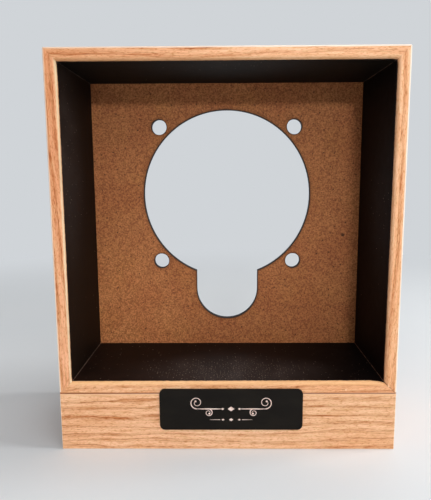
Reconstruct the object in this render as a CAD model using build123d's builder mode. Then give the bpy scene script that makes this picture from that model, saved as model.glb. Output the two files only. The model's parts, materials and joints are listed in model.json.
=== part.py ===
from build123d import *
from math import radians, tan
import os

os.makedirs("parts", exist_ok=True)

# A free-standing display stand for a round panel clock: a deep mitred oak frame on a solid oak base,
# with a black lined recess, a thin fibreboard panel cut out for the clock, and a small black name plate.
# Millimetres. +X is to the viewer's right, +Y is to the rear, +Z is up.

# Frame of four mitred rails
frame_width = 140.0
frame_height = 138.5
frame_depth = 60.0
rail_face = 5.3
lip_depth = 1.5
inner_arris = 1.0
outer_arris = 0.5
frame_corner_radius = 0.5

# Lining boards that make the recess black and stop the panel
lining_thickness = 1.5
recess_depth = 50.5

# Fibreboard panel and its cut-outs
panel_thickness = 3.0
panel_clearance = 0.15
bore_radius = 40.5
cutout_top_margin = 12.3
knob_slot_radius = 15.1
knob_slot_drop = 46.9
screw_hole_radius = 3.6
screw_hole_spacing = 65.0

# Flat steel points pushed into the rails behind the panel
point_width = 6.0
point_length = 13.0
point_thickness = 0.5
point_bite = 3.0
point_clearance = 0.05
point_spread = 80.0

# Base block and the screws that hold the frame to it
base_height = 24.5
base_arris = 0.4
base_screw_spread = 80.0
base_screw_setback = 25.0
base_screw_length = 20.0
base_screw_radius = 1.5
base_screw_head_radius = 2.8
base_screw_head_angle = 90.0
base_screw_head_sink = 0.15
base_screw_tip = 3.0
base_screw_clearance = 0.05
driver_slot_width = 0.7
driver_slot_depth = 0.9

# Name plate and its adhesive pad
plate_width = 59.5
plate_height = 17.8
plate_thickness = 0.8
plate_corner_radius = 2.2
plate_edge_break = 0.15
plate_offset_x = 1.5
plate_centre_z = 18.1
pad_thickness = 0.2
pad_border = 1.6
pad_corner_radius = 1.0

# Places that follow from the sizes above. The footprint, plate included, is centred on the origin.
plate_proud = plate_thickness + pad_thickness
front_y = -(frame_depth - plate_proud) / 2
back_y = front_y + frame_depth
rail_wall = rail_face - lining_thickness
half_width = frame_width / 2
half_height = frame_height / 2
frame_centre = Vector(0, 0, base_height + half_height)
lining_front_y = front_y + lip_depth
panel_front_y = front_y + recess_depth
panel_back_y = panel_front_y + panel_thickness
opening_top = base_height + frame_height - rail_face
bore_centre_z = opening_top - cutout_top_margin - bore_radius
knob_slot_centre_z = bore_centre_z - knob_slot_drop
rebate_floor_z = base_height + rail_wall
base_screw_top_z = rebate_floor_z - base_screw_head_sink

to_the_rear = Vector(0, 1, 0)
to_the_right = Vector(1, 0, 0)
upwards = Vector(0, 0, 1)

# Each side of the frame: the way its outer face looks, the way it runs,
# half the frame's size across it and half the frame's size along it.
sides = {
    "top": (upwards, to_the_right, half_height, half_width),
    "bottom": (-upwards, to_the_right, half_height, half_width),
    "left": (-to_the_right, upwards, half_width, half_height),
    "right": (to_the_right, upwards, half_width, half_height),
}
rail_names = {
    "top": "top_rail",
    "bottom": "bottom_rail",
    "left": "left_stile",
    "right": "right_stile",
}


def upright(y):
    """The plane at depth y that faces the viewer: its x is +X and its y is +Z."""
    return Plane.XZ.offset(-y)


def save(part, name):
    """Labels a finished piece and writes it under its own name."""
    part.label = name
    export_step(part, f"parts/{name}.step")


def point_seats(outward, along, half_across):
    """Where the two steel points of one side enter its rail, on the rebate face behind the panel."""
    wall = frame_centre + outward * (half_across - rail_wall) + to_the_rear * panel_back_y
    return [wall + along * (step * point_spread / 2) for step in (-1, 1)]


def base_screw_places():
    """Centres of the two base screws, seen from above."""
    y = front_y + base_screw_setback
    return [(step * base_screw_spread / 2, y) for step in (-1, 1)]


# The outline that the four rails share, with its outer corners eased by sanding
with BuildPart() as frame_outline:
    with BuildSketch(upright(front_y)):
        with Locations((0, frame_centre.Z)):
            RectangleRounded(frame_width, frame_height, frame_corner_radius)
    extrude(amount=-frame_depth)

# Rails: one section, a lip at the front and a rebate behind it, cut at 45 degrees at both ends
for side, (outward, along, half_across, half_along) in sides.items():
    lip = half_across - rail_face
    rebate = half_across - rail_wall
    section_plane = Plane(origin=frame_centre, x_dir=outward, z_dir=outward.cross(to_the_rear))
    with BuildPart() as rail:
        with BuildSketch(section_plane) as section:
            with BuildLine():
                Polyline(
                    (half_across, front_y),
                    (lip, front_y),
                    (lip, lining_front_y),
                    (rebate, lining_front_y),
                    (rebate, back_y),
                    (half_across, back_y),
                    close=True,
                )
            make_face()
            corners = section.vertices().sort_by(Axis.X)
            outer_corners = corners[-2:]
            lip_front_corner = corners[:2].sort_by(Axis.Y)[0]
            fillet(outer_corners, radius=outer_arris)
            fillet(lip_front_corner, radius=inner_arris)
        extrude(amount=half_along, both=True)
        for end in (-1, 1):
            corner = frame_centre + outward * half_across + along * (end * half_along)
            mitre = Plane(origin=corner, z_dir=along * end - outward)
            split(bisect_by=mitre, keep=Keep.BOTTOM)
        add(frame_outline.part, mode=Mode.INTERSECT)
        # Slots that the steel points are pushed into
        slot_reach = point_bite + point_clearance
        slot_width = point_width + 2 * point_clearance
        slot_gap = point_thickness + 2 * point_clearance
        for seat in point_seats(outward, along, half_across):
            slot_plane = Plane(
                origin=seat - to_the_rear * point_clearance, x_dir=outward, z_dir=to_the_rear
            )
            with BuildSketch(slot_plane):
                Rectangle(slot_reach, slot_width, align=(Align.MIN, Align.CENTER))
            extrude(amount=slot_gap, mode=Mode.SUBTRACT)
        # The bottom rail is screwed down to the base through countersunk holes
        if side == "bottom":
            countersink_radius = base_screw_head_radius + base_screw_head_sink + base_screw_clearance
            with Locations(*[(x, y, rebate_floor_z) for x, y in base_screw_places()]):
                CounterSinkHole(
                    radius=base_screw_radius + base_screw_clearance,
                    counter_sink_radius=countersink_radius,
                    counter_sink_angle=base_screw_head_angle,
                )
    save(rail.part, rail_names[side])

# Lining boards: flush with the lip, mitred where they meet, from the lip back to the panel
for side, (outward, along, half_across, half_along) in sides.items():
    shown_face = half_across - rail_face
    glued_face = half_across - rail_wall
    half_shown = half_along - rail_face
    half_glued = half_along - rail_wall
    lining_plane = Plane(
        origin=frame_centre + to_the_rear * lining_front_y, x_dir=outward, z_dir=to_the_rear
    )
    with BuildPart() as lining:
        with BuildSketch(lining_plane):
            with BuildLine():
                Polyline(
                    (shown_face, -half_shown),
                    (shown_face, half_shown),
                    (glued_face, half_glued),
                    (glued_face, -half_glued),
                    close=True,
                )
            make_face()
        extrude(amount=panel_front_y - lining_front_y)
    save(lining.part, f"{side}_lining")

# Clock panel: a clearance fit in the rebate, laser cut for the clock, its knob and its four screws
panel_width = frame_width - 2 * (rail_wall + panel_clearance)
panel_height = frame_height - 2 * (rail_wall + panel_clearance)
with BuildPart() as clock_panel:
    with BuildSketch(upright(panel_front_y)):
        with Locations((0, frame_centre.Z)):
            Rectangle(panel_width, panel_height)
        with Locations((0, bore_centre_z)):
            Circle(bore_radius, mode=Mode.SUBTRACT)
            with GridLocations(screw_hole_spacing, screw_hole_spacing, 2, 2):
                Circle(screw_hole_radius, mode=Mode.SUBTRACT)
        # The knob slot hangs straight down from the clock's own centre and ends in a half circle
        with Locations((0, bore_centre_z)):
            Rectangle(
                2 * knob_slot_radius,
                knob_slot_drop,
                align=(Align.CENTER, Align.MAX),
                mode=Mode.SUBTRACT,
            )
        with Locations((0, knob_slot_centre_z)):
            Circle(knob_slot_radius, mode=Mode.SUBTRACT)
    extrude(amount=-panel_thickness)
save(clock_panel.part, "clock_panel")

# Steel points: flat blades that lie on the panel's back with their tips in the rail
for side, (outward, along, half_across, half_along) in sides.items():
    for number, seat in enumerate(point_seats(outward, along, half_across), start=1):
        with BuildPart() as point:
            with BuildSketch(Plane(origin=seat, x_dir=outward, z_dir=to_the_rear)):
                with BuildLine():
                    Polyline(
                        (point_bite - point_length, -point_width / 2),
                        (0, -point_width / 2),
                        (point_bite, 0),
                        (0, point_width / 2),
                        (point_bite - point_length, point_width / 2),
                        close=True,
                    )
                make_face()
            extrude(amount=point_thickness)
        save(point.part, f"{side}_panel_point_{number}")

# Base: a solid block as wide and as deep as the frame, with pilot holes for the two screws
base_screw_tip_z = base_screw_top_z - base_screw_length
with BuildPart() as base:
    with BuildSketch(upright(front_y)):
        Rectangle(frame_width, base_height, align=(Align.CENTER, Align.MIN))
    extrude(amount=-frame_depth)
    fillet(base.edges(), radius=base_arris)
    with Locations(*[(x, y, base_height) for x, y in base_screw_places()]):
        Hole(
            radius=base_screw_radius + base_screw_clearance,
            depth=base_height - base_screw_tip_z + base_screw_clearance,
        )
save(base.part, "base_block")

# Base screws: countersunk, pointed, with a slotted head that the bottom lining hides
head_height = (base_screw_head_radius - base_screw_radius) / tan(radians(base_screw_head_angle / 2))
for name, (x, y) in zip(("base_screw_left", "base_screw_right"), base_screw_places()):
    head_centre = Vector(x, y, base_screw_top_z)
    with BuildPart() as screw:
        with BuildSketch(Plane(origin=head_centre, x_dir=to_the_right, z_dir=-to_the_rear)):
            with BuildLine():
                Polyline(
                    (0, 0),
                    (base_screw_head_radius, 0),
                    (base_screw_radius, -head_height),
                    (base_screw_radius, base_screw_tip - base_screw_length),
                    (0, -base_screw_length),
                    close=True,
                )
            make_face()
        revolve(axis=Axis(head_centre, upwards))
        with BuildSketch(Plane(origin=head_centre)):
            Rectangle(2 * base_screw_head_radius, driver_slot_width)
        extrude(amount=-driver_slot_depth, mode=Mode.SUBTRACT)
    save(screw.part, name)

# Name plate: thin metal with round corners, its lower part on the base and its top over the seam
with BuildPart() as name_plate:
    with BuildSketch(upright(front_y - pad_thickness)):
        with Locations((plate_offset_x, plate_centre_z)):
            RectangleRounded(plate_width, plate_height, plate_corner_radius)
    extrude(amount=plate_thickness)
    plate_face = name_plate.faces().sort_by(Axis.Y)[0]
    chamfer(plate_face.edges(), length=plate_edge_break)
save(name_plate.part, "name_plate")

# Adhesive pad that holds the plate
with BuildPart() as plate_pad:
    with BuildSketch(upright(front_y)):
        with Locations((plate_offset_x, plate_centre_z)):
            RectangleRounded(plate_width - 2 * pad_border, plate_height - 2 * pad_border, pad_corner_radius)
    extrude(amount=pad_thickness)
save(plate_pad.part, "plate_adhesive_pad")
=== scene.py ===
import json
from math import cos, exp, hypot, pi, radians, sin

import bmesh
import bpy
from mathutils import Euler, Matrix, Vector


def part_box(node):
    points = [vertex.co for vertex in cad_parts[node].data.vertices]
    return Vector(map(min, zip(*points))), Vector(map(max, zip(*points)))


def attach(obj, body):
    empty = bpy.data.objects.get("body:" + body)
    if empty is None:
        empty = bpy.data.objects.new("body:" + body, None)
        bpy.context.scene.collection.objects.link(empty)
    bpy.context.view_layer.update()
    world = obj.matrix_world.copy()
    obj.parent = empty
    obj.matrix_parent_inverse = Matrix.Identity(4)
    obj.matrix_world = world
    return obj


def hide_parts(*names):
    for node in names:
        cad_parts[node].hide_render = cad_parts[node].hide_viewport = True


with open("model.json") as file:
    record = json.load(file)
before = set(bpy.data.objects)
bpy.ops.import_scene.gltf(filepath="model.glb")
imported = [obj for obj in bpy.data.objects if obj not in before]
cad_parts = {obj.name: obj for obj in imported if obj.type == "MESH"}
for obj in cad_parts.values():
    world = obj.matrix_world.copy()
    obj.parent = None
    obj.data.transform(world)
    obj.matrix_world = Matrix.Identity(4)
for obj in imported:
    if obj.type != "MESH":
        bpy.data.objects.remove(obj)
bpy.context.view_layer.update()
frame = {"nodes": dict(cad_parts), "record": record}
MM = 0.001


# Base block
# A solid block of oak, planed square, its edges only just eased with paper and wiped with oil.
# The grain runs from side to side, so the front shows long streaks and both ends show end grain.
def colour(red, green, blue):
    """A colour given on the 0 to 255 scale, as the linear colour that a shader takes."""
    parts = [value / 255 for value in (red, green, blue)]
    return [p / 12.92 if p <= 0.04045 else ((p + 0.055) / 1.055) ** 2.4 for p in parts] + [1.0]


def add(tree, kind, inputs, **options):
    """Adds a node, sets its options and gives each input a value or another node's output."""
    node = tree.nodes.new(kind)
    for option, value in options.items():
        setattr(node, option, value)
    for name, value in inputs.items():
        if isinstance(value, bpy.types.NodeSocket):
            tree.links.new(value, node.inputs[name])
        else:
            node.inputs[name].default_value = value
    return node


def sum_up(tree, operation, first, second=0.0, third=0.0, clamp=False):
    """One line of arithmetic on numbers or sockets."""
    values = {0: first, 1: second, 2: third}
    return add(tree, "ShaderNodeMath", values, operation=operation, use_clamp=clamp).outputs[0]


def fade(tree, value, start, end, least=0.0, most=1.0):
    """Goes smoothly from least, where value is start, to most, where it is end."""
    limits = {"Value": value, "From Min": start, "From Max": end, "To Min": least, "To Max": most}
    return add(tree, "ShaderNodeMapRange", limits, interpolation_type="SMOOTHSTEP").outputs[0]


def blend_colours(tree, amount, first, second, mode="MIX"):
    """Lays the second colour over the first by amount."""
    values = {"Factor": amount, 6: first, 7: second}
    return add(tree, "ShaderNodeMix", values, data_type="RGBA", blend_type=mode).outputs[2]


def stain(tree, amount, under, shares):
    """Darkens a colour by amount towards these shares of its red, green and blue."""
    return blend_colours(tree, amount, under, (*shares, 1), "MULTIPLY")


def vector_sum(tree, operation, first, second=(0, 0, 0), third=(0, 0, 0)):
    """One line of arithmetic on points or directions."""
    values = {0: first, 1: second, 2: third}
    return add(tree, "ShaderNodeVectorMath", values, operation=operation).outputs


def split_axes(tree, point):
    return add(tree, "ShaderNodeSeparateXYZ", {0: point}).outputs


def drawn_noise(tree, place, along, across, depth, seed, detail=2.0):
    """Noise with its own count of cycles a millimetre along each axis, fewer where it is drawn out."""
    stretched = vector_sum(tree, "MULTIPLY", place, (along, across, depth))[0]
    values = {"Vector": stretched, "W": seed, "Scale": 1.0, "Detail": detail, "Roughness": 0.55}
    return add(tree, "ShaderNodeTexNoise", values, noise_dimensions="4D")


def even_noise(tree, place, cycles, seed, detail=2.0):
    """Noise with the same count of cycles a millimetre every way."""
    return drawn_noise(tree, place, cycles, cycles, cycles, seed, detail)


def new_finish(name):
    """An empty material with its shader, and the place on the piece in millimetres."""
    material = bpy.data.materials.new(name)
    material.use_nodes = True
    tree = material.node_tree
    coordinates = tree.nodes.new("ShaderNodeTexCoord").outputs
    place = vector_sum(tree, "MULTIPLY", coordinates["Object"], (1 / MM,) * 3)[0]
    return material, tree, tree.nodes["Principled BSDF"], place


def raise_relief(tree, shader, height, depth_mm, strength=1.0):
    """Turns a height from 0 to 1 into the surface's fine relief."""
    values = {"Height": height, "Distance": depth_mm * MM, "Strength": strength}
    tree.links.new(add(tree, "ShaderNodeBump", values).outputs[0], shader.inputs["Normal"])


def arris_distance(tree, place, low, high):
    """Millimetres from the nearest outer edge of the block between the corners low and high."""
    axes = split_axes(tree, place)
    to_face = []
    for axis, start, end in zip("XYZ", low, high):
        from_start = sum_up(tree, "SUBTRACT", axes[axis], start / MM)
        from_end = sum_up(tree, "SUBTRACT", end / MM, axes[axis])
        to_face.append(sum_up(tree, "MINIMUM", from_start, from_end))
    x, y, z = to_face
    nearer = sum_up(tree, "MINIMUM", x, y)
    further = sum_up(tree, "MAXIMUM", x, y)
    return sum_up(tree, "MAXIMUM", nearer, sum_up(tree, "MINIMUM", further, z))


def share_along(tree, place, axis, low, high):
    """0 at the lower or left end of the block between the corners low and high, 1 at its other end."""
    start, end = getattr(low, axis.lower()) / MM, getattr(high, axis.lower()) / MM
    from_start = sum_up(tree, "SUBTRACT", split_axes(tree, place)[axis], start)
    return sum_up(tree, "DIVIDE", from_start, end - start)


def end_to_end(tree, share, ends):
    """Runs evenly from the first of two values, where share is 0, to the second, where it is 1."""
    return sum_up(tree, "MULTIPLY_ADD", share, ends[1] - ends[0], ends[0])


def oak(name, low, high, log, colours, seed, eased):
    """Oiled oak for a piece of the block between the corners low and high.

    log says how the piece was sawn: grain is the axis that it runs along, run_out how many degrees
    it strays from it, pith how far off the log's centre lies across the grain and ring how wide a
    year's growth is, both in millimetres, and figure how strongly the growth shows at the piece's
    lower or left end and at its other end. colours are the summer wood and the spring wood, and
    eased is how many millimetres in from the outer edges sanding has bared the wood, which is
    painted paler still as a highlight.
    Returns what a piece needs to add its own marks, and the colour so far."""
    material, tree, shader, place = new_finish(name)
    upright = log["grain"] == "Z"
    turn = Euler((0, radians(log["run_out"] + (90 if upright else 0)), 0))
    shift = -(turn.to_matrix() @ ((low + high) / 2)) / MM - Vector((0, *log["pith"]))
    trunk = add(tree, "ShaderNodeMapping", {"Vector": place, "Location": shift, "Rotation": turn}).outputs[0]

    # The log grew slightly crooked, so its rings wander along the grain
    crook = 7.0
    wander = drawn_noise(tree, trunk, 0.013, 0.07, 0.07, seed).outputs["Color"]
    centred = vector_sum(tree, "SUBTRACT", wander, (0.5, 0.5, 0.5))[0]
    trunk = vector_sum(tree, "MULTIPLY_ADD", centred, (0, crook, crook), trunk)[0]
    radius = vector_sum(tree, "LENGTH", vector_sum(tree, "MULTIPLY", trunk, (0, 1, 1))[0])[1]

    def grown(along, across, number, detail=2.0):
        """Noise that is drawn out along the trunk. number tells one layer of it from the next."""
        return drawn_noise(tree, trunk, along, across, across, seed + number, detail).outputs[0]

    years = sum_up(tree, "DIVIDE", radius, log["ring"])
    years = sum_up(tree, "MULTIPLY_ADD", grown(0.024, 0.5, 1), 0.7, years)
    season = sum_up(tree, "FRACT", years)
    year = sum_up(tree, "FLOOR", years)

    # Spring growth is open and dark, and closes gradually into dense pale summer growth
    opens = fade(tree, season, 0.0, 0.14)
    closes = fade(tree, season, 0.6, 0.14)
    spring = sum_up(tree, "MULTIPLY", opens, closes)
    vigour = add(tree, "ShaderNodeTexWhiteNoise", {"W": year}, noise_dimensions="1D").outputs[0]
    vigour = sum_up(tree, "MULTIPLY_ADD", vigour, 0.6, 0.5)
    patchy = fade(tree, grown(0.03, 0.2, 2), 0.25, 0.55, least=0.3)
    broken = fade(tree, grown(0.12, 1.7, 3), 0.38, 0.6, least=0.45)
    streak = sum_up(tree, "MULTIPLY", spring, sum_up(tree, "MULTIPLY", vigour, patchy))
    streak = sum_up(tree, "MULTIPLY", streak, broken)
    figure = end_to_end(tree, share_along(tree, place, log["grain"], low, high), log["figure"])
    streak = sum_up(tree, "MULTIPLY", streak, figure, clamp=True)

    # Pores are short dark strokes, crowded in the spring growth, with strokes of hard pale fibre between
    crowded = sum_up(tree, "MULTIPLY_ADD", streak, 0.9, 0.3, clamp=True)
    pore = sum_up(tree, "MULTIPLY", fade(tree, grown(0.32, 2.7, 4, detail=1.0), 0.52, 0.62), crowded)
    fibre = grown(0.06, 1.7, 5, detail=4.0)
    tone = grown(0.008, 0.05, 6)
    hard = fade(tree, grown(0.2, 2.0, 8), 0.5, 0.66, most=0.7)
    pin = fade(tree, grown(0.75, 2.8, 9, detail=1.0), 0.54, 0.66)

    summer_wood, spring_wood = colours
    wood = blend_colours(tree, hard, summer_wood, pale_fibre)
    wood = blend_colours(tree, streak, wood, spring_wood)
    wood = stain(tree, fade(tree, fibre, 0.4, 0.72), wood, (0.80, 0.66, 0.50))
    wood = stain(tree, fade(tree, tone, 0.35, 0.7), wood, (0.95, 0.87, 0.80))
    wood = stain(tree, pore, wood, (0.67, 0.46, 0.26))
    wood = stain(tree, pin, wood, (0.82, 0.68, 0.52))

    # End grain drinks more oil and is darker
    way = (0, 0, 1) if upright else (1, 0, 0)
    normal = tree.nodes.new("ShaderNodeTexCoord").outputs["Normal"]
    facing = sum_up(tree, "ABSOLUTE", vector_sum(tree, "DOT_PRODUCT", normal, way)[1])
    wood = stain(tree, fade(tree, facing, 0.75, 0.95), wood, (0.74, 0.62, 0.52))

    # The outer edges were eased after oiling, which bared pale wood, and a painted highlight lightens them
    # further
    from_arris = arris_distance(tree, place, low, high)
    into_wood = sum_up(tree, "MULTIPLY_ADD", fibre, 0.3, from_arris)
    bared_and_highlit = fade(tree, into_wood, eased + 0.3, eased, most=0.85)
    wood = blend_colours(tree, bared_and_highlit, wood, pale_arris_and_highlight)

    gloss = sum_up(tree, "MULTIPLY_ADD", fibre, 0.16, 0.46)
    tree.links.new(sum_up(tree, "MULTIPLY_ADD", pore, 0.2, gloss), shader.inputs["Roughness"])
    shader.inputs["Specular IOR Level"].default_value = 0.3
    sunk = sum_up(tree, "SUBTRACT", sum_up(tree, "MULTIPLY", fibre, 0.3), pore)
    raise_relief(tree, shader, sunk, 0.05, 0.3)
    return material, tree, shader, place, wood


def dress(node, material):
    """Gives a piece carried over from the frame its finish."""
    for slot in frame["nodes"][node].material_slots:
        slot.material = material


# Pale bared wood at the outer edges, lightened towards white as a painted highlight
pale_arris_and_highlight = colour(255, 238, 220)
pale_fibre = colour(255, 214, 170)
base_low, base_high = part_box("base_block")
seam = base_high.z / MM


def base_oak():
    log = dict(grain="X", run_out=0.8, pith=(34.0, 46.0), ring=2.1, figure=(1.0, 1.0))
    colours = colour(255, 205, 165), colour(202, 124, 60)
    material, tree, shader, place, wood = oak("oak_base", base_low, base_high, log, colours, 3.0, 0.3)
    axes = split_axes(tree, place)
    # Painted shade: the base is darker towards its right end, to offset the lamps that light that end more
    wood = stain(tree, fade(tree, axes["X"], 0.0, 50.0), wood, (0.94, 0.93, 0.9))
    # Along the seam: a pale line just below it, a painted highlight on the base's top edge, and a dark line
    # in the joint itself, dust and painted shade in the groove between base and frame
    below_seam = sum_up(tree, "SUBTRACT", seam, axes["Z"])
    painted_edge_lighting = fade(tree, below_seam, 0.55, 0.4, most=0.7)
    wood = blend_colours(tree, painted_edge_lighting, wood, colour(255, 198, 142))
    grime_and_shade = fade(tree, below_seam, 0.06, 0.01, most=0.9)
    wood = blend_colours(tree, grime_and_shade, wood, colour(112, 52, 22))
    tree.links.new(wood, shader.inputs["Base Color"])
    return material


dress("base_block", base_oak())


# Base screws
# Countersunk zinc-plated steel screws with slotted heads, driven down through the bottom rail.
# The bottom lining board is glued over their heads.
def coat(tree, shader, tone, texture, roughness, depth_mm, strength=1.0):
    """Gives a surface its colour, and takes its roughness, from least to most, and its relief from
    one texture."""
    tree.links.new(tone, shader.inputs["Base Color"])
    tree.links.new(end_to_end(tree, texture, roughness), shader.inputs["Roughness"])
    raise_relief(tree, shader, texture, depth_mm, strength)


def bright_steel(name, tint, roughness, marks_along):
    """Plain steel with fine rolling or turning marks, in cycles a millimetre along each axis."""
    material, tree, shader, place = new_finish(name)
    marks = drawn_noise(tree, place, *marks_along, 1.0, detail=3.0).outputs[0]
    tarnish = even_noise(tree, place, 0.4, 2.0).outputs[0]
    steel = stain(tree, fade(tree, marks, 0.3, 0.7), tint, (0.72, 0.72, 0.72))
    steel = stain(tree, fade(tree, tarnish, 0.45, 0.75), steel, (0.78, 0.74, 0.68))
    shader.inputs["Metallic"].default_value = 1.0
    coat(tree, shader, steel, marks, roughness, 0.01)
    return material


screw_steel = bright_steel("screw_steel", colour(196, 198, 202), (0.28, 0.48), (3.0, 3.0, 0.6))
dress("base_screw_left", screw_steel)
dress("base_screw_right", screw_steel)


# Frame rails
# Four strips of oak with a lip at the front and a rebate behind it, mitred and glued at the corners.
# The edge of the opening is rounded over by hand after assembly, so it is not quite even.
frame_low = Vector((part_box("left_stile")[0].x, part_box("top_rail")[0].y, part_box("bottom_rail")[0].z))
frame_high = Vector((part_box("right_stile")[1].x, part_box("top_rail")[1].y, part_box("top_rail")[1].z))
frame_centre = (frame_low + frame_high) / 2
half_width = (frame_high.x - frame_low.x) / 2
half_height = (frame_high.z - frame_low.z) / 2
rail_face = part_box("top_rail")[1].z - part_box("top_lining")[0].z
rail_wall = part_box("top_rail")[1].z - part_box("top_lining")[1].z
lip_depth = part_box("top_lining")[0].y - frame_low.y
outer_arris = 0.5 * MM


def frame_distances(tree, place):
    """In millimetres: how far a point lies from the nearest mitre, how far it lies outside the
    opening, and its X, Y and Z as seen from the middle of the frame."""
    from_centre = vector_sum(tree, "SUBTRACT", place, frame_centre / MM)[0]
    axes = split_axes(tree, from_centre)
    outside = []
    for axis, half in (("X", half_width), ("Z", half_height)):
        reach = sum_up(tree, "ABSOLUTE", axes[axis])
        outside.append(sum_up(tree, "SUBTRACT", reach, (half - rail_face) / MM))
    slant = sum_up(tree, "ABSOLUTE", sum_up(tree, "SUBTRACT", *outside))
    return sum_up(tree, "MULTIPLY", slant, sin(pi / 4)), sum_up(tree, "MAXIMUM", *outside), axes


def rail_oak(node, log, colours, seed, edge, darkening):
    """Oak for one rail, with its glued mitres, the seam below it and black paint crept onto its lip.
    edge is the painted light or shade on the rounded edge of the opening: its tone and how strong that is,
    and in millimetres how far it reaches at each end, how softly it stops and how much further it goes in
    the upper or right corner. The last argument says where the wood starts to darken, where it is darkest,
    as shares of the rail's length, and how dark."""
    material, tree, shader, place, wood = oak("oak_" + node, frame_low, frame_high, log, colours, seed, 0.6)
    from_mitre, outside_opening, axes = frame_distances(tree, place)
    uneven = even_noise(tree, place, 0.5, seed + 7).outputs[0]
    share = share_along(tree, place, log["grain"], frame_low, frame_high)

    depth = sum_up(tree, "SUBTRACT", split_axes(tree, place)["Y"], frame_low.y / MM)
    # Painted light and shade on the rounded edge of the opening, laid over the wood as a tone
    onto_edge = sum_up(tree, "MAXIMUM", outside_opening, depth)
    onto_edge = sum_up(tree, "MULTIPLY_ADD", uneven, 0.3, onto_edge)
    reach = end_to_end(tree, share, edge["reach"])
    reach = sum_up(tree, "MULTIPLY_ADD", fade(tree, share, 0.88, 0.965), edge["corner"], reach)
    within = sum_up(tree, "SUBTRACT", reach, onto_edge)
    painted_edge_lighting = fade(tree, within, -edge["soft"], 0.3, most=edge["strength"])
    wood = blend_colours(tree, painted_edge_lighting, wood, edge["tone"])

    # The rail darkens towards one end
    pale_end, dark_end, how_dark = darkening
    inner = fade(tree, share, pale_end, dark_end, most=how_dark)
    wood = stain(tree, inner, wood, (0.80, 0.66, 0.55))

    if node == "bottom_rail":
        # A small scuff has torn the fibres above the seam
        scuff = Vector((48.2, 0, seam + 1.9)) - frame_centre / MM
        off_x = sum_up(tree, "SUBTRACT", axes["X"], scuff.x)
        off_z = sum_up(tree, "MULTIPLY", sum_up(tree, "SUBTRACT", axes["Z"], scuff.z), 1.5)
        off = add(tree, "ShaderNodeCombineXYZ", {0: off_x, 1: off_z}).outputs[0]
        torn = even_noise(tree, place, 1.1, 92.0).outputs[0]
        patch = fade(tree, vector_sum(tree, "LENGTH", off)[1], 1.5, 0.7)
        dark = sum_up(tree, "MULTIPLY", patch, fade(tree, torn, 0.5, 0.4, most=0.5))
        wood = blend_colours(tree, dark, wood, colour(164, 96, 52))
        pale = sum_up(tree, "MULTIPLY", patch, fade(tree, torn, 0.52, 0.62, most=0.7))
        wood = blend_colours(tree, pale, wood, colour(252, 222, 188))

    # The lower right mitre has opened most, as a hairline broken by crumbs of dried glue
    to_the_right = fade(tree, axes["X"], 20.0, 40.0)
    low_down = fade(tree, axes["Z"], -20.0, -40.0)
    opened = sum_up(tree, "MULTIPLY_ADD", sum_up(tree, "MULTIPLY", to_the_right, low_down), 0.52, 0.08)
    crumbs = even_noise(tree, place, 0.8, 90.0, detail=1.0).outputs[0]
    near = fade(tree, from_mitre, 0.32, 0.1)
    hairline = sum_up(tree, "MULTIPLY", near, fade(tree, crumbs, 0.62, 0.5, most=opened))
    wood = blend_colours(tree, hairline, wood, colour(122, 72, 42))
    glue = sum_up(tree, "MULTIPLY", near, fade(tree, crumbs, 0.6, 0.68, most=opened))
    wood = blend_colours(tree, glue, wood, colour(250, 224, 196))

    # Black paint from the linings has crept a little way onto the lip
    into_lip = sum_up(tree, "SUBTRACT", depth, lip_depth / MM - 0.75)
    ragged = sum_up(tree, "MULTIPLY_ADD", uneven, 1.1, into_lip)
    on_lip = fade(tree, outside_opening, 1.35, 1.2)
    crept = sum_up(tree, "MULTIPLY", fade(tree, ragged, 0.86, 1.0), on_lip)
    wood = blend_colours(tree, crept, wood, colour(30, 23, 20))

    # Oil and dust have gathered along the seam with the base, most of all at its left end, and painted shade
    # darkens the groove between frame and base
    above_seam = sum_up(tree, "SUBTRACT", split_axes(tree, place)["Z"], seam)
    seam_dirt_and_shade = sum_up(tree, "MULTIPLY_ADD", uneven, 0.3, above_seam)
    towards_left = fade(tree, axes["X"], -30.0, -60.0, 0.7, 0.9)
    wood = blend_colours(tree, fade(tree, seam_dirt_and_shade, 1.2, 0.75, most=towards_left), wood, colour(182, 106, 50))
    wood = blend_colours(tree, fade(tree, above_seam, 0.42, 0.15, most=0.75), wood, colour(132, 64, 26))
    tree.links.new(wood, shader.inputs["Base Color"])
    return material


def partway(ends, share):
    """The value this share of the way from the first of two values to the second."""
    return ends[0] * (1 - share) + ends[1] * share


def corner_wear(from_ends, worn):
    """How far sanding has dropped the edge of the opening, in metres, from the distance to each of its
    corners and how worn each corner is in millimetres. The drop is steepest at the corner."""
    reach = 6.0 * MM
    scoops = [max(0.0, 1 - away / reach) ** 1.4 for away in from_ends]
    return sum(amount * MM * scoop for amount, scoop in zip(worn, scoops))


def clear_of_corner(from_ends, reach):
    """0 in the corners of the opening, and close to 1 from twice the reach onwards."""
    return 1 - exp(-((min(from_ends) / reach) ** 2))


def unevenness(along, seed):
    """A slow waver along a hand-sanded edge, from -1 to 1."""
    waves = sin(along * 71 + seed) + 0.6 * sin(along * 163 + 2.1 * seed) + 0.4 * sin(along * 389 + 3.7 * seed)
    return waves / 2.0


def rail_section(roundover, sink):
    """The rail's outline as (distance in from its outer face, distance back from its front).
    roundover is the radius of the opening's edge and sink how far the lip is sanded away."""
    outer = outer_arris
    arc = [radians(angle) for angle in range(0, 91, 15)]
    back = frame_high.y - frame_low.y
    lip = rail_face - sink
    points = [(outer - outer * cos(a), outer - outer * sin(a)) for a in arc]
    points += [(1.6 * MM, 0.0), (2.4 * MM, 0.0)]
    points += [(lip - roundover + roundover * sin(a), roundover - roundover * cos(a)) for a in arc]
    points += [(lip, lip_depth), (rail_wall, lip_depth), (rail_wall, back / 2), (rail_wall, back)]
    points += [(outer - outer * sin(a), back - outer + outer * cos(a)) for a in arc]
    points += [(0.0, back / 2)]
    return points


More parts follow.
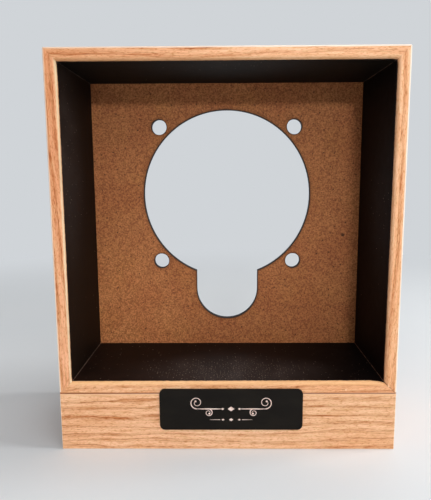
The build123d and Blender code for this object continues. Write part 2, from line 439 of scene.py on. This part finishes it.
def eased_corner(x, z):
    """Moves a point near the frame's outer corner onto the small round that sanding left there."""
    past_x = abs(x) - (half_width - outer_arris)
    past_z = abs(z) - (half_height - outer_arris)
    if past_x <= 0 or past_z <= 0:
        return x, z
    pull = max(past_x, past_z) / hypot(past_x, past_z)
    x -= (past_x - past_x * pull) * (1 if x > 0 else -1)
    z -= (past_z - past_z * pull) * (1 if z > 0 else -1)
    return x, z


def rail(node, upright, side, seed, round_over, worn, trimmed):
    """One mitred rail. side is 1 for the top or the right and -1 for the bottom or the left.
    round_over, worn and trimmed are for its left or lower end and its right or upper end, in
    millimetres. trimmed is how much narrower than its lining the lip was left, or wider below 0."""
    half_across, half_along = (half_width, half_height) if upright else (half_height, half_width)
    half_opening = half_along - rail_face

    # Sections stand close together near the mitres, where the wear is, and further apart between
    close = [0.0, 0.15, 0.35, 0.5, 0.8, 1.2, 1.8, 2.6, 3.6, 4.6, 5.5, 7.0, 8.5, 10.5, 13.0, 16.0, 20.0]
    rest, steps = half_along - 24 * MM, 12
    stations = [half_along - step * MM for step in close]
    stations += [rest - rest * i / steps for i in range(steps + 1)]
    stations += [-station for station in reversed(stations[:-1])]
    rings = []
    for station in stations:
        on_edge = station * half_opening / half_along
        from_ends = half_opening + on_edge, half_opening - on_edge
        share = from_ends[0] / (2 * half_opening)
        # The trimming and the hand's waver both die out towards the corners
        trimming = partway(trimmed, share) * clear_of_corner(from_ends, 1.5 * MM)
        waver = 0.07 * unevenness(station, seed) * clear_of_corner(from_ends, 6 * MM)
        sink = corner_wear(from_ends, worn) + trimming * MM
        roundover = (partway(round_over, share) + waver) * MM
        ring = []
        for inward, back in rail_section(roundover, sink):
            across = side * (half_across - inward)
            along = station * (half_along - inward) / half_along
            x, z = (across, along) if upright else (along, across)
            x, z = eased_corner(x, z)
            ring.append((x + frame_centre.x, frame_low.y + back, z + frame_centre.z))
        rings.append(ring)
    count = len(rings[0])
    points = [point for ring in rings for point in ring]
    faces = []
    for i in range(len(rings) - 1):
        for j in range(count):
            k = (j + 1) % count
            faces.append((i * count + j, i * count + k, (i + 1) * count + k, (i + 1) * count + j))
    faces.append(tuple(range(count)))
    faces.append(tuple(reversed(range((len(rings) - 1) * count, len(rings) * count))))
    piece = mesh_piece(node + "_oak", points, faces)
    face_outwards(piece.data)
    return piece


def bring_in(name, data):
    """Puts a mesh, a lamp or a camera into the scene."""
    arrival = bpy.data.objects.new(name, data)
    bpy.context.scene.collection.objects.link(arrival)
    return arrival


def mesh_piece(name, points, faces):
    """A new piece made of these points and faces."""
    mesh = bpy.data.meshes.new(name)
    mesh.from_pydata(points, [], faces)
    mesh.validate()
    return bring_in(name, mesh)


def face_outwards(mesh):
    """Merges doubled points and turns every face outwards."""
    form = bmesh.new()
    form.from_mesh(mesh)
    bmesh.ops.remove_doubles(form, verts=form.verts, dist=0.001 * MM)
    bmesh.ops.recalc_face_normals(form, faces=form.faces)
    form.to_mesh(mesh)
    form.free()


def smooth_curves(piece):
    """Shades the rounds smooth and keeps edges of over 30 degrees sharp."""
    piece.data.shade_smooth()
    piece.data.set_sharp_from_angle(angle=radians(30))


# Painted shade on the edge of the opening of the top and right rails, and painted highlight on the left and
# bottom ones
shaded_khaki, shaded_umber = colour(196, 151, 106), colour(178, 126, 96)
lit_cream, lit_straw = colour(255, 242, 202), colour(255, 201, 143)
rails = {
    "top_rail": dict(
        side=1,
        log=dict(grain="X", run_out=-0.6, pith=(-38.0, 60.7), ring=2.1, figure=(1.1, 0.3)),
        colours=(colour(255, 199, 156), colour(206, 122, 57)),
        seed=19.0,
        edge=dict(tone=shaded_khaki, strength=0.5, reach=(1.1, 1.1), soft=1.1, corner=0.0),
        darkening=(0.7, 0.0, 0.8),
        round_over=(1.0, 1.0),
        worn=(0.2, 0.1),
        trimmed=(0.1, 0.25),
    ),
    "bottom_rail": dict(
        side=-1,
        log=dict(grain="X", run_out=2.5, pith=(60.0, 45.0), ring=2.4, figure=(0.6, 1.05)),
        colours=(colour(254, 198, 154), colour(204, 122, 56)),
        seed=17.0,
        edge=dict(tone=lit_straw, strength=0.65, reach=(1.0, 1.3), soft=1.0, corner=0.0),
        darkening=(0.3, 1.0, 0.15),
        round_over=(0.9, 1.4),
        worn=(0.05, 0.7),
        trimmed=(0.0, -0.3),
    ),
    "left_stile": dict(
        side=-1,
        log=dict(grain="Z", run_out=2.0, pith=(-55.0, -50.0), ring=2.8, figure=(0.85, 0.95)),
        colours=(colour(252, 190, 148), colour(204, 122, 56)),
        seed=45.0,
        edge=dict(tone=lit_cream, strength=1.0, reach=(0.4, 0.5), soft=0.9, corner=0.3),
        darkening=(0.15, 1.0, 0.6),
        round_over=(0.9, 1.3),
        worn=(0.05, 0.35),
        trimmed=(0.2, 0.0),
    ),
    "right_stile": dict(
        side=1,
        log=dict(grain="Z", run_out=-1.0, pith=(-55.0, 49.2), ring=3.4, figure=(0.75, 1.0)),
        colours=(colour(254, 198, 153), colour(208, 125, 60)),
        seed=39.0,
        edge=dict(tone=shaded_umber, strength=0.4, reach=(1.1, 1.1), soft=1.1, corner=0.0),
        darkening=(0.8, 0.0, 0.05),
        round_over=(0.9, 1.1),
        worn=(0.1, 0.15),
        trimmed=(0.05, 0.4),
    ),
}
for node, cut in rails.items():
    upright = cut["log"]["grain"] == "Z"
    piece = rail(node, upright, cut["side"], cut["seed"], cut["round_over"], cut["worn"], cut["trimmed"])
    smooth_curves(piece)
    finish = rail_oak(node, cut["log"], cut["colours"], cut["seed"], cut["edge"], cut["darkening"])
    piece.data.materials.append(finish)
    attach(piece, "root")
    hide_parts(node)


# Lining boards
# Thin board painted matt black before it went in, mitred at the corners and glued inside the frame.
# The paint has chipped from the sharp mitred edges, so the pale core shows as a hairline, most of all
# in the two lower corners.
def sprinkled(tree, across, upward, per_mm):
    """Flat cells with one point in each: how far off that point is, in cells, and three chance numbers
    drawn for the cell."""
    face = add(tree, "ShaderNodeCombineXYZ", {0: across, 1: upward}).outputs[0]
    values = {"Vector": face, "Scale": per_mm}
    cells = add(tree, "ShaderNodeTexVoronoi", values, voronoi_dimensions="2D").outputs
    return cells["Distance"], split_axes(tree, cells["Color"])


def lining_paint(name, along, lit_and_shaded_tones, sheen_amount, sheen_place, dust, shaded_end, core, seed):
    """Matt black-brown paint for a board that runs along an axis. Its tones are its dark and pale places,
    painted lighter or darker for how the light falls on the board, and core is the board showing where
    they have chipped. It carries a painted sheen, given by how much and where that is strongest, along
    the board and back from its front edge, and how far it reaches, in millimetres. dust is how many pale
    specks lie there, and the coat is painted darker by a given amount, as shade, towards the board's
    right or upper end."""
    material, tree, shader, place = new_finish(name)
    from_mitre, _, axes = frame_distances(tree, place)
    run = axes[along]
    depth = sum_up(tree, "SUBTRACT", split_axes(tree, place)["Y"], frame_low.y / MM + lip_depth / MM)
    brush = even_noise(tree, place, 0.25, seed, detail=4.0).outputs[0]
    sheen_mottle = drawn_noise(tree, place, 0.07, 0.03, 0.07, seed + 1, detail=5.0).outputs[0]
    paint = blend_colours(tree, fade(tree, brush, 0.35, 0.65), *lit_and_shaded_tones)
    # Painted shade: the paint darkens towards the board's right or upper end
    painted_shade = fade(tree, run, 8.0, 56.0, most=shaded_end)
    paint = blend_colours(tree, painted_shade, paint, colour(5, 2, 2))
    # Painted sheen: a soft pale patch over the paint, broken up by noise; the dust gathers there too
    middle, back, reach = sheen_place
    off_middle = sum_up(tree, "DIVIDE", sum_up(tree, "SUBTRACT", run, middle), reach)
    off_back = sum_up(tree, "DIVIDE", sum_up(tree, "SUBTRACT", depth, back), reach * 0.5)
    off = add(tree, "ShaderNodeCombineXYZ", {0: off_middle, 1: off_back}).outputs[0]
    dust_and_sheen_patch = fade(tree, vector_sum(tree, "LENGTH", off)[1], 1.0, 0.1)
    painted_sheen = sum_up(tree, "MULTIPLY", fade(tree, sheen_mottle, 0.42, 0.7, least=0.4), dust_and_sheen_patch)
    paint = blend_colours(tree, sum_up(tree, "MULTIPLY", painted_sheen, sheen_amount), paint, colour(84, 72, 68))

    # Dust is drawn on the board's own face, because specks scattered through its depth would miss it
    off_speck, lot = sprinkled(tree, run, depth, 0.82)
    crowd = sum_up(tree, "MULTIPLY_ADD", sum_up(tree, "POWER", dust_and_sheen_patch, 1.6), 0.95, 0.05)
    crowd = sum_up(tree, "MULTIPLY", crowd, dust)
    chosen = sum_up(tree, "LESS_THAN", lot["X"], crowd)
    grain = sum_up(tree, "MULTIPLY_ADD", lot["Y"], 0.1, 0.08)
    speck = sum_up(tree, "MULTIPLY", sum_up(tree, "LESS_THAN", off_speck, grain), chosen)
    catching_light = sum_up(tree, "MULTIPLY_ADD", sum_up(tree, "POWER", lot["Z"], 3.0), 0.6, 0.4)
    speck = sum_up(tree, "MULTIPLY", speck, catching_light)
    paint = blend_colours(tree, speck, paint, colour(176, 156, 140))

    worn = even_noise(tree, place, 0.35, seed + 2, detail=3.0).outputs[0]
    lower = fade(tree, axes["Z"], 45.0, -45.0, 0.45, 0.95)
    here_and_there = fade(tree, worn, 0.36, 0.55, most=lower)
    chipped = sum_up(tree, "MULTIPLY", fade(tree, from_mitre, 0.2, 0.05), here_and_there)
    paint = blend_colours(tree, chipped, paint, core)
    shader.inputs["Specular IOR Level"].default_value = 0.07
    coat(tree, shader, paint, brush, (0.55, 0.71), 0.05, 0.6)
    return material


# Each board has the same paint, painted lighter or darker for how the light falls on it: lightest on the left
# board, darkest on the right
linings = {
    "top_lining": dict(
        lit_and_shaded_tones=(colour(15, 12, 9), colour(24, 20, 16)),
        sheen_amount=0.15,
        sheen_place=(0, 8, 50),
        dust=0.04,
        shaded_end=0.0,
        core=colour(122, 116, 110),
        seed=41.0,
    ),
    "bottom_lining": dict(
        lit_and_shaded_tones=(colour(21, 10, 6), colour(32, 18, 12)),
        sheen_amount=0.68,
        sheen_place=(1, 10, 54),
        dust=0.75,
        shaded_end=0.95,
        core=colour(142, 114, 100),
        seed=43.0,
    ),
    "left_lining": dict(
        lit_and_shaded_tones=(colour(24, 15, 10), colour(33, 22, 15)),
        sheen_amount=0.45,
        sheen_place=(26, 10, 52),
        dust=0.08,
        shaded_end=0.0,
        core=colour(120, 104, 96),
        seed=47.0,
    ),
    "right_lining": dict(
        lit_and_shaded_tones=(colour(9, 2, 1), colour(14, 4, 2)),
        sheen_amount=0.1,
        sheen_place=(0, 10, 50),
        dust=0.04,
        shaded_end=0.3,
        core=colour(176, 136, 112),
        seed=53.0,
    ),
}
for node, state in linings.items():
    along = "Z" if node in ("left_lining", "right_lining") else "X"
    dress(node, lining_paint("black_" + node, along, **state))


# Clock panel
# Three-millimetre fibreboard, left raw. The laser that cut the round hole, the knob slot and the
# four screw holes charred the cut walls black and scorched a thin rim on the face.
mounts = {mount["name"]: mount for mount in frame["record"]["mounts"]}
bore_centre = Vector(mounts["instrument_bore"]["pos_m"])
bore_radius = mounts["instrument_bore"]["dims"]["r_mm"]
screw_reach = mounts["instrument_screws"]["dims"]["spacing_x_mm"] / 2
screw_radius = mounts["instrument_screws"]["dims"]["hole_r_mm"]
slot_radius = 15.1
slot_drop = 46.9
# Across and up from the centre of the round hole
knot_place = 57.1, -19.8
# Painted light: the panel is painted paler towards this corner, below and left of the hole
lit_corner = -60.0, -74.0


def distance_to(tree, across, upward, x, z):
    """Millimetres in the panel's plane from a point to (x, z)."""
    step_x = sum_up(tree, "SUBTRACT", across, x)
    step_z = sum_up(tree, "SUBTRACT", upward, z)
    squares = sum_up(tree, "MULTIPLY_ADD", step_x, step_x, sum_up(tree, "MULTIPLY", step_z, step_z))
    return sum_up(tree, "SQRT", squares)


def fibreboard(name):
    material, tree, shader, place = new_finish(name)
    from_bore_centre = vector_sum(tree, "SUBTRACT", place, bore_centre / MM)[0]
    axes = split_axes(tree, from_bore_centre)
    across, upward = axes["X"], axes["Z"]

    # Felted wood fibre: a fine mottle, cloudy redder and yellower patches, bark flecks and dark specks
    mottle = even_noise(tree, place, 1.5, 5.0, detail=3.0).outputs[0]
    cloud = even_noise(tree, place, 0.06, 6.0, detail=4.0).outputs
    patches = split_axes(tree, cloud["Color"])
    flecks = even_noise(tree, place, 1.3, 7.0).outputs[0]
    pale_flecks = even_noise(tree, place, 1.5, 8.0).outputs[0]
    board = blend_colours(tree, fade(tree, mottle, 0.34, 0.66), colour(157, 94, 53), colour(220, 145, 89))
    board = stain(tree, fade(tree, cloud[0], 0.35, 0.68), board, (0.90, 0.88, 0.86))
    redder = fade(tree, patches["X"], 0.42, 0.62)
    board = stain(tree, redder, board, (1.0, 0.945, 0.955))
    yellower = fade(tree, patches["Z"], 0.45, 0.65)
    board = stain(tree, yellower, board, (0.985, 1.0, 0.94))
    dyed = split_axes(tree, even_noise(tree, place, 0.9, 9.0).outputs["Color"])
    russet = fade(tree, dyed["X"], 0.48, 0.66)
    board = stain(tree, russet, board, (1.0, 0.95, 0.95))
    olive = fade(tree, dyed["Z"], 0.48, 0.66)
    board = stain(tree, olive, board, (0.97, 0.99, 0.94))
    bark = fade(tree, flecks, 0.6, 0.74, most=0.8)
    board = blend_colours(tree, bark, board, colour(92, 48, 24))
    chaff = fade(tree, pale_flecks, 0.62, 0.76, most=0.5)
    board = blend_colours(tree, chaff, board, colour(212, 152, 104))
    off_speck, lot = sprinkled(tree, across, upward, 0.18)
    chosen = sum_up(tree, "LESS_THAN", lot["X"], 0.55)
    rim = sum_up(tree, "MULTIPLY_ADD", lot["Y"], 0.05, 0.05)
    speck = sum_up(tree, "MULTIPLY", fade(tree, off_speck, rim, 0.03, most=0.8), chosen)
    board = blend_colours(tree, speck, board, colour(52, 27, 16))
    knot = fade(tree, distance_to(tree, across, upward, *knot_place), 1.05, 0.5, most=0.85)
    board = blend_colours(tree, knot, board, colour(46, 24, 14))
    # Painted light and shade: the panel darkens away from its lower left corner and towards its right side
    painted_light_falloff = fade(tree, distance_to(tree, across, upward, *lit_corner), 12.0, 66.0)
    board = stain(tree, painted_light_falloff, board, (0.79, 0.765, 0.76))
    to_the_right = fade(tree, across, -60.0, 60.0)
    board = stain(tree, to_the_right, board, (0.97, 0.96, 0.95))

    # Distance outside the nearest cut: the round hole, the slot hanging from it, or a screw hole
    from_bore = sum_up(tree, "SUBTRACT", distance_to(tree, across, upward, 0, 0), bore_radius)
    below = sum_up(tree, "MAXIMUM", sum_up(tree, "MINIMUM", upward, 0.0), -slot_drop)
    from_slot = sum_up(tree, "SUBTRACT", distance_to(tree, across, upward, 0, below), slot_radius)
    fold_x = sum_up(tree, "ABSOLUTE", across)
    fold_z = sum_up(tree, "ABSOLUTE", upward)
    to_screw = distance_to(tree, fold_x, fold_z, screw_reach, screw_reach)
    from_screw = sum_up(tree, "SUBTRACT", to_screw, screw_radius)
    from_cut = sum_up(tree, "MINIMUM", sum_up(tree, "MINIMUM", from_bore, from_slot), from_screw)
    ragged = sum_up(tree, "MULTIPLY_ADD", mottle, -0.5, sum_up(tree, "ADD", from_cut, 0.25))
    board = blend_colours(tree, fade(tree, ragged, 1.5, 0.2, most=0.35), board, colour(84, 46, 24))
    board = blend_colours(tree, fade(tree, ragged, 0.36, 0.1), board, colour(26, 15, 10))

    shader.inputs["Specular IOR Level"].default_value = 0.25
    coat(tree, shader, board, mottle, (0.6, 0.8), 0.06, 0.6)
    return material


dress("clock_panel", fibreboard("fibreboard_panel"))


# Panel points
# Flat blades of rolled steel, pushed into the rebate behind the panel with a point driver.
# Two on each side hold the panel forward against the ends of the lining boards.
point_steel = bright_steel("point_steel", colour(188, 190, 193), (0.34, 0.54), (0.35, 2.0, 2.5))
for node in frame["nodes"]:
    if "panel_point" in node:
        dress(node, point_steel)


# Name plate
# Thin metal with round corners, anodised satin black, its edge broken bright by the cutter.
# An adhesive pad holds it to the base, with its top edge over the seam below the frame.
plate_low, plate_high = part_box("name_plate")
plate_centre = (plate_low + plate_high) / 2


def anodised_black(name):
    material, tree, shader, place = new_finish(name)
    brushed = drawn_noise(tree, place, 0.12, 6.0, 6.0, 61.0, detail=3.0).outputs[0]
    cloud = drawn_noise(tree, place, 0.08, 0.2, 0.2, 62.0, detail=3.0).outputs[0]
    black = blend_colours(tree, brushed, colour(16, 13, 10), colour(24, 20, 16))
    black = blend_colours(tree, fade(tree, cloud, 0.4, 0.7), black, colour(27, 23, 18))
    shader.inputs["Specular IOR Level"].default_value = 0.1
    coat(tree, shader, black, brushed, (0.42, 0.54), 0.004)
    return material


def pad_film(name):
    material, tree, shader, place = new_finish(name)
    fleece = even_noise(tree, place, 1.2, 71.0, detail=4.0).outputs[0]
    film = blend_colours(tree, fleece, colour(196, 194, 184), colour(222, 220, 212))
    coat(tree, shader, film, fleece, (0.5, 0.7), 0.03)
    return material


def rose_gold(name):
    """The pinkish layer that a graver lays bare, a little dulled at the bottom of the cut."""
    material, tree, shader, place = new_finish(name)
    chatter = even_noise(tree, place, 5.0, 65.0).outputs[0]
    dulled = even_noise(tree, place, 0.5, 66.0).outputs[0]
    metal = blend_colours(tree, fade(tree, chatter, 0.3, 0.7), colour(238, 208, 196), colour(250, 228, 218))
    metal = stain(tree, fade(tree, dulled, 0.45, 0.7), metal, (0.84, 0.78, 0.74))
    shader.inputs["Metallic"].default_value = 0.4
    coat(tree, shader, metal, chatter, (0.4, 0.6), 0.01)
    return material


def set_down(tree, drawing, across, upward, turn=0.0, stretch=(1, 1, 1)):
    """Turns and stretches part of the drawing and moves it to its place."""
    spot = add(tree, "ShaderNodeCombineXYZ", {0: across, 1: upward}).outputs[0]
    values = {"Geometry": drawing, "Translation": spot, "Rotation": (0, 0, radians(turn)), "Scale": stretch}
    return add(tree, "GeometryNodeTransform", values).outputs[0]


def cut_line(tree, curve, width, heavy, light, swells=False):
    """A graver's cut along a curve: its share of the line's width goes from heavy to light, or swells
    from light at both ends to heavy in the middle."""
    along = tree.nodes.new("GeometryNodeSplineParameter").outputs["Factor"]
    if swells:
        arch = sum_up(tree, "SINE", sum_up(tree, "MULTIPLY", along, pi))
        weight = sum_up(tree, "MULTIPLY_ADD", arch, heavy - light, light)
    else:
        weight = sum_up(tree, "MULTIPLY_ADD", along, light - heavy, heavy)
    graver = add(tree, "GeometryNodeCurvePrimitiveCircle", {"Resolution": 8})
    tree.links.new(sum_up(tree, "MULTIPLY", width, 0.5), graver.inputs["Radius"])
    values = {"Curve": curve, "Profile Curve": graver.outputs[0], "Scale": weight, "Fill Caps": True}
    return add(tree, "GeometryNodeCurveToMesh", values).outputs[0]


def straight(tree, start, end):
    """A straight line between two sockets or lengths, with points enough to swell."""
    ends = [add(tree, "ShaderNodeCombineXYZ", {0: x}).outputs[0] for x in (start, end)]
    line = add(tree, "GeometryNodeCurvePrimitiveLine", {"Start": ends[0], "End": ends[1]}).outputs[0]
    return add(tree, "GeometryNodeResampleCurve", {"Curve": line, "Count": 25}).outputs[0]


def scroll(tree, radius, eye, turns, width):
    """A scroll that rolls in anticlockwise from its outer end, on the right, and ends in a round eye."""
    values = {"Resolution": 32, "Rotations": turns, "Start Radius": radius, "Height": 0.0, "Reverse": True}
    values["End Radius"] = sum_up(tree, "MULTIPLY", radius, eye)
    curve = add(tree, "GeometryNodeCurveSpiral", values).outputs[0]
    line = cut_line(tree, curve, width, 1.0, 0.45)
    dot = add(tree, "GeometryNodeMeshCylinder", {"Vertices": 12, "Depth": width})
    tree.links.new(sum_up(tree, "MULTIPLY", width, 0.95), dot.inputs["Radius"])
    last = add(tree, "GeometryNodeCurveEndpointSelection", {"Start Size": 0, "End Size": 1}).outputs[0]
    values = {"Points": curve, "Selection": last, "Instance": dot.outputs["Mesh"]}
    placed = add(tree, "GeometryNodeInstanceOnPoints", values).outputs[0]
    return [line, placed]


def lozenge(tree, radius, width, across, upward=0.0):
    """A small four-sided cut, wider than it is tall."""
    values = {"Vertices": 4, "Radius": radius, "Depth": width}
    diamond = add(tree, "GeometryNodeMeshCylinder", values).outputs["Mesh"]
    return set_down(tree, diamond, across, upward, stretch=(1.35, 1, 1))


def join(tree, parts):
    gathered = tree.nodes.new("GeometryNodeJoinGeometry")
    for part in parts:
        tree.links.new(part, gathered.inputs[0])
    return gathered.outputs[0]


def flourish_tree():
    """Half of the flourish is drawn flat as curves, cut, and mirrored about the middle of the plate."""
    tree = bpy.data.node_groups.new("engraved_flourish", "GeometryNodeTree")
    kinds = {"Material": "NodeSocketMaterial", "Centre": "NodeSocketVector"}
    for name in ("Half Length", "Line Width", "Depth", "Scroll Radius", "Turns", "Centre", "Material"):
        kind = kinds.get(name, "NodeSocketFloat")
        tree.interface.new_socket(name=name, in_out="INPUT", socket_type=kind)
    tree.interface.new_socket(name="Geometry", in_out="OUTPUT", socket_type="NodeSocketGeometry")
    size = tree.nodes.new("NodeGroupInput").outputs
    reach, width = size["Half Length"], size["Line Width"]
    radius, turns = size["Scroll Radius"], size["Turns"]

    # The long rule swells in the middle and rolls up into the outer scroll
    shoulder = sum_up(tree, "SUBTRACT", reach, radius)
    start = sum_up(tree, "MULTIPLY", radius, 1.3)
    half = [cut_line(tree, straight(tree, start, shoulder), width, 1.15, 0.4, swells=True)]
    for part in scroll(tree, radius, 0.28, turns, width):
        half.append(set_down(tree, part, shoulder, radius, turn=-90))

    # A smaller scroll leaves it under the middle and rolls back down, and its twin stands above
    small = sum_up(tree, "MULTIPLY", radius, 0.62)
    branch = sum_up(tree, "MULTIPLY", reach, 0.55)
    for part in scroll(tree, small, 0.3, turns, width):
        half.append(set_down(tree, part, branch, sum_up(tree, "MULTIPLY", small, -1.0), turn=90))
    tail = sum_up(tree, "MULTIPLY_ADD", small, 3.2, branch)
    half.append(cut_line(tree, straight(tree, branch, tail), width, 0.9, 0.2))
    half.append(lozenge(tree, sum_up(tree, "MULTIPLY", width, 1.1), width, start))

    # Below it runs a short divider of lozenges and hairlines
    drop = sum_up(tree, "MULTIPLY", radius, -1.75)
    step = sum_up(tree, "MULTIPLY", reach, 0.2)
    half.append(lozenge(tree, width, width, step, drop))
    inner, outer = [sum_up(tree, "MULTIPLY", step, steps) for steps in (1.35, 2.6)]
    hairline = cut_line(tree, straight(tree, inner, outer), width, 0.7, 0.25)
    half.append(set_down(tree, hairline, 0.0, drop))

    half = join(tree, half)
    other = set_down(tree, half, 0.0, 0.0, stretch=(-1, 1, 1))
    other = add(tree, "GeometryNodeRealizeInstances", {"Geometry": other}).outputs[0]
    other = add(tree, "GeometryNodeFlipFaces", {"Mesh": other}).outputs[0]
    middle = lozenge(tree, sum_up(tree, "MULTIPLY", width, 2.3), width, 0.0)
    bottom = lozenge(tree, sum_up(tree, "MULTIPLY", width, 1.5), width, 0.0, drop)
    whole = join(tree, [half, other, middle, bottom])

    # The drawing is pressed flat, stood up against the plate's face and made one plain mesh
    thin = add(tree, "ShaderNodeCombineXYZ", {0: 1.0, 1: 1.0})
    tree.links.new(sum_up(tree, "DIVIDE", size["Depth"], width), thin.inputs[2])
    whole = add(tree, "GeometryNodeTransform", {"Geometry": whole, "Scale": thin.outputs[0]}).outputs[0]
    values = {"Geometry": whole, "Translation": size["Centre"], "Rotation": (radians(90), 0, 0)}
    whole = add(tree, "GeometryNodeTransform", values).outputs[0]
    whole = add(tree, "GeometryNodeRealizeInstances", {"Geometry": whole}).outputs[0]
    values = {"Geometry": whole, "Material": size["Material"]}
    whole = add(tree, "GeometryNodeSetMaterial", values).outputs[0]
    add(tree, "NodeGroupOutput", {"Geometry": whole})
    return tree


def grow(name, tree, sizes):
    """Runs a tree with these sizes and keeps what it makes as a plain mesh."""
    piece = bring_in(name, bpy.data.meshes.new(name))
    maker = piece.modifiers.new(name, "NODES")
    maker.node_group = tree
    for item in tree.interface.items_tree:
        if item.in_out == "INPUT":
            maker[item.identifier] = sizes[item.name]
    evaluated = piece.evaluated_get(bpy.context.evaluated_depsgraph_get())
    made = bpy.data.meshes.new_from_object(evaluated)
    piece.modifiers.clear()
    piece.data = made
    made.name = name
    face_outwards(made)
    return piece


dress("name_plate", anodised_black("anodised_black"))
dress("plate_adhesive_pad", pad_film("pad_film"))

flourish = grow(
    "plate_flourish",
    flourish_tree(),
    {
        "Half Length": 17.0 * MM,
        "Line Width": 0.45 * MM,
        "Depth": 0.05 * MM,
        "Scroll Radius": 2.7 * MM,
        "Turns": 1.4,
        "Centre": (plate_centre.x, plate_low.y, plate_centre.z + 0.4 * MM),
        "Material": rose_gold("rose_gold"),
    },
)
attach(flourish, "root")


# Floor, light and camera
# A plain pale floor and surround under soft studio light: two wide lamps above and in front, a smaller
# one nearly level with the recess, a window-like lamp to the right that shadows the left of the base,
# and faint fill from above and behind.
def studio_floor():
    """A pale floor, round and wide enough to run out of sight on every side."""
    reach, rings, spokes = 12.0, 24, 64
    points = [(0.0, 0.0, 0.0)]
    faces = []
    for i in range(1, rings + 1):
        radius = reach * (i / rings) ** 2
        for j in range(spokes):
            angle = 2 * pi * j / spokes
            points.append((radius * cos(angle), radius * sin(angle), 0.0))
    for j in range(spokes):
        faces.append((0, 1 + j, 1 + (j + 1) % spokes))
        for i in range(rings - 1):
            inner, outer = 1 + i * spokes, 1 + (i + 1) * spokes
            k = (j + 1) % spokes
            faces.append((inner + j, outer + j, outer + k, inner + k))
    return mesh_piece("studio_floor", points, faces)


def seen(tree):
    """1 for rays from the camera and for reflections, which see the pale surround, and 0 for others."""
    path = tree.nodes.new("ShaderNodeLightPath").outputs
    mirrored = sum_up(tree, "MAXIMUM", path["Is Glossy Ray"], path["Is Transmission Ray"])
    return sum_up(tree, "MAXIMUM", path["Is Camera Ray"], mirrored)


def floor_paper(name):
    """Matt paper that takes the stand's shadow and fades into the surround further out."""
    material, tree, shader, place = new_finish(name)
    tooth = even_noise(tree, place, 0.009, 81.0, detail=4.0).outputs[0]
    paper = blend_colours(tree, tooth, colour(222, 226, 229), colour(228, 231, 233))
    tree.links.new(paper, shader.inputs["Base Color"])
    shader.inputs["Roughness"].default_value = 0.8
    shader.inputs["Specular IOR Level"].default_value = 0.1
    away = fade(tree, vector_sum(tree, "LENGTH", place)[1], 230.0, 560.0)
    amount = sum_up(tree, "MULTIPLY", away, seen(tree))
    glow = add(tree, "ShaderNodeEmission", {"Color": surround, "Strength": 1.0}).outputs[0]
    both = add(tree, "ShaderNodeMixShader", {0: amount, 1: shader.outputs[0], 2: glow}).outputs[0]
    tree.links.new(both, tree.nodes["Material Output"].inputs["Surface"])
    return material


surround = colour(208, 212, 216)
floor = studio_floor()
floor.data.materials.append(floor_paper("floor_paper"))


def lamp(name, azimuth, elevation, distance, width, height, watts):
    """An area lamp aimed at the middle of the stand. Azimuth 0 is straight in front, 90 to the right."""
    aim = Vector((0, 0, frame_centre.z))
    bearing, rise = radians(azimuth), radians(elevation)
    away = Vector((sin(bearing) * cos(rise), -cos(bearing) * cos(rise), sin(rise)))
    light = bpy.data.lights.new(name, "AREA")
    light.shape = "RECTANGLE"
    light.size = width
    light.size_y = height
    light.energy = watts
    holder = bring_in(name, light)
    holder.location = aim + away * distance
    holder.rotation_euler = away.to_track_quat("Z", "Y").to_euler()


lamp("soft_front", azimuth=5, elevation=42, distance=1.3, width=1.1, height=1.0, watts=4.6)
lamp("soft_right", azimuth=36, elevation=36, distance=1.3, width=0.9, height=0.9, watts=3.6)
lamp("low_front", azimuth=8, elevation=14, distance=1.2, width=0.12, height=0.06, watts=3.7)
lamp("window", azimuth=88, elevation=42, distance=1.1, width=0.4, height=0.6, watts=7.0)
lamp("overhead", azimuth=0, elevation=86, distance=1.2, width=0.9, height=0.9, watts=1.6)
lamp("behind", azimuth=150, elevation=40, distance=1.2, width=0.8, height=0.8, watts=2.4)

world = bpy.data.worlds.new("studio")
world.use_nodes = True
sky = world.node_tree
sky.nodes["Background"].inputs["Color"].default_value = (0.93, 0.96, 1.0, 1)
sky.nodes["Background"].inputs["Strength"].default_value = 0.11
backdrop = add(sky, "ShaderNodeBackground", {"Color": surround, "Strength": 1.0}).outputs[0]
dim = sky.nodes["Background"].outputs[0]
view = add(sky, "ShaderNodeMixShader", {0: seen(sky), 1: dim, 2: backdrop}).outputs[0]
sky.links.new(view, sky.nodes["World Output"].inputs["Surface"])
bpy.context.scene.world = world

camera_data = bpy.data.cameras.new("camera")
camera_data.lens = 37.42
camera_data.sensor_width = 36.0
camera_data.shift_x = -0.0121
camera_data.clip_start = 0.01
camera = bring_in("camera", camera_data)
camera.location = (0.00006, -0.2345, 0.11508)
looks_down, looks_left, rolls = radians(8.328), radians(0.624), radians(-0.266)
camera.rotation_euler = Euler((pi / 2 - looks_down, 0, looks_left))
camera.rotation_euler.rotate_axis("Z", rolls)
bpy.context.scene.camera = camera

bpy.context.scene.view_settings.view_transform = "Standard"
